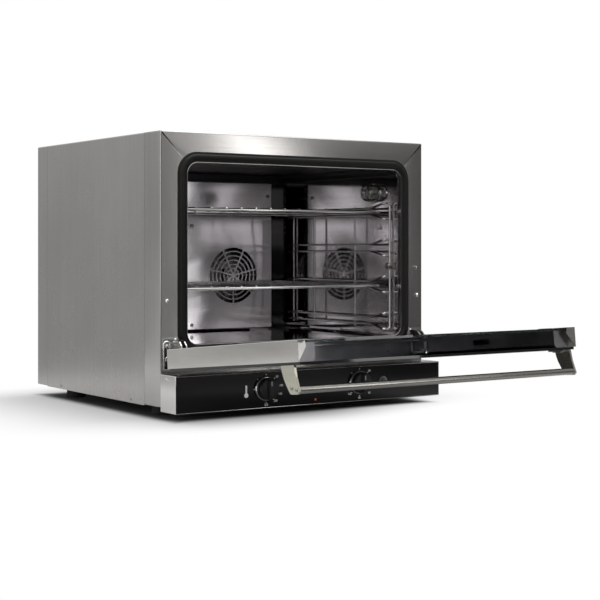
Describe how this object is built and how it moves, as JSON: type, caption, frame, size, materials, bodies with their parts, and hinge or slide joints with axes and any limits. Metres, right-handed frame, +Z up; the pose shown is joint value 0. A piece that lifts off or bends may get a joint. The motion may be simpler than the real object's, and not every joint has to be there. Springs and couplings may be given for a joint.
{
  "type": "convection oven",
  "caption": "Countertop convection oven with a drop-down glass door, wire shelf racks, sliding wire shelves, rear fans behind a grille plate and a lower control panel with knobs",
  "frame": {"origin": "on the counter, under the middle of the cabinet's width and depth without the door, panel and rear fittings", "axes": "x to the right seen from the front, y from the front towards the back, z up"},
  "size_m": [0.5974, 0.9952, 0.514],
  "materials": {
    "stainless_case": "fine brushed stainless steel",
    "stainless_cavity": "satin stainless steel",
    "bright_wire": "bright polished wire",
    "bright_trim": "polished trim",
    "zinc_sheet": "dull zinc-coated sheet",
    "screw_steel": "plated screws",
    "silicone": "matte dark silicone",
    "foot_rubber": "matte black rubber",
    "mineral_wool": "matte fibre wool",
    "black_glass": "gloss black printed glass",
    "clear_glass": "clear tempered glass",
    "lamp_glass": "clear heat-proof glass",
    "heater_metal": "dark oxidised heater sheath",
    "fan_metal": "pressed aluminised sheet",
    "motor_metal": "dull varnished laminations",
    "black_plastic": "satin black moulded plastic",
    "grey_plastic": "grey moulded plastic",
    "ceramic": "glazed ceramic",
    "pilot_lens": "amber lens",
    "switch_plastic": "dark switch housing"
  },
  "bodies": {
    "cabinet": {"cabinet_cover": "stainless_case", "case_screws": "screw_steel", "front_frame": "stainless_case", "frame_studs": "bright_trim", "door_gasket": "silicone", "cavity_shell": "stainless_cavity", "insulation_blanket": "mineral_wool", "base_pan": "zinc_sheet", "rear_panel": "zinc_sheet", "vent_pipe": "stainless_case", "cable_gland": "black_plastic", "terminal_block": "ceramic", "feet": "foot_rubber", "fan_baffle": "stainless_cavity", "baffle_posts": "stainless_cavity", "baffle_screws": "screw_steel", "heating_elements": "heater_metal", "fan_motor_left": "motor_metal", "fan_motor_right": "motor_metal", "rack_runners_left": "bright_wire", "rack_runners_right": "bright_wire", "rack_uprights_left": "bright_wire", "rack_uprights_right": "bright_wire", "rack_fixings": "stainless_cavity", "lamp_glass": "lamp_glass", "lamp_ring": "stainless_cavity", "lamp_bulb": "lamp_glass", "lamp_socket": "ceramic", "thermostat_probe": "stainless_cavity", "control_panel_box": "stainless_case", "control_glass": "black_glass", "knob_bezels": "bright_trim", "button_bezel": "bright_trim", "pilot_lamp": "pilot_lens", "thermostat_body": "switch_plastic", "timer_body": "switch_plastic", "door_switch_body": "switch_plastic", "hinge_brackets": "zinc_sheet", "hinge_pins": "zinc_sheet"},
    "door": {"door_stile_left": "stainless_cavity", "door_stile_right": "stainless_cavity", "door_skin_left": "stainless_case", "door_skin_right": "stainless_case", "door_bottom_rail": "stainless_cavity", "door_outer_glass": "black_glass", "door_inner_glass": "clear_glass", "glass_clips": "bright_trim", "hinge_arms": "zinc_sheet", "handle_bar": "stainless_case", "handle_arm_left": "stainless_case", "handle_arm_right": "stainless_case", "handle_screws": "screw_steel"},
    "upper_shelf": {"shelf_upper": "bright_wire"},
    "lower_shelf": {"shelf_lower": "bright_wire"},
    "left_fan": {"fan_left": "fan_metal"},
    "right_fan": {"fan_right": "fan_metal"},
    "temperature_knob": {"knob_temperature": "black_plastic"},
    "timer_knob": {"knob_timer": "black_plastic"},
    "light_button": {"push_button": "grey_plastic"},
    "switch_plunger": {"door_switch_plunger": "switch_plastic"}
  },
  "joints": [
    {"name": "door_hinge", "type": "hinge", "parent": "cabinet", "child": "door", "pos_m": [0, -0.295, 0.104], "axis": [-1, 0, 0], "range_deg": [0, 84.4]},
    {"name": "upper_shelf_slide", "type": "slide", "parent": "cabinet", "child": "upper_shelf", "axis": [0, 1, 0], "range_m": [-0.3, 0]},
    {"name": "lower_shelf_slide", "type": "slide", "parent": "cabinet", "child": "lower_shelf", "axis": [0, 1, 0], "range_m": [-0.3, 0]},
    {"name": "left_fan_spin", "type": "hinge", "parent": "cabinet", "child": "left_fan", "pos_m": [-0.1035, 0.17, 0.245], "axis": [0, 1, 0], "continuous": true},
    {"name": "right_fan_spin", "type": "hinge", "parent": "cabinet", "child": "right_fan", "pos_m": [0.1035, 0.17, 0.245], "axis": [0, 1, 0], "continuous": true},
    {"name": "temperature_knob_turn", "type": "hinge", "parent": "cabinet", "child": "temperature_knob", "pos_m": [-0.109, -0.33, 0.0495], "axis": [0, 1, 0], "range_deg": [0, 285]},
    {"name": "timer_knob_turn", "type": "hinge", "parent": "cabinet", "child": "timer_knob", "pos_m": [0.102, -0.33, 0.0495], "axis": [0, 1, 0], "range_deg": [0, 300]},
    {"name": "light_button_press", "type": "slide", "parent": "cabinet", "child": "light_button", "axis": [0, 1, 0], "range_m": [0, 0.003], "stiffness_N_per_m": 200},
    {"name": "switch_plunger_press", "type": "slide", "parent": "cabinet", "child": "switch_plunger", "axis": [0, 1, 0], "range_m": [0, 0.004], "stiffness_N_per_m": 100}
  ]
}
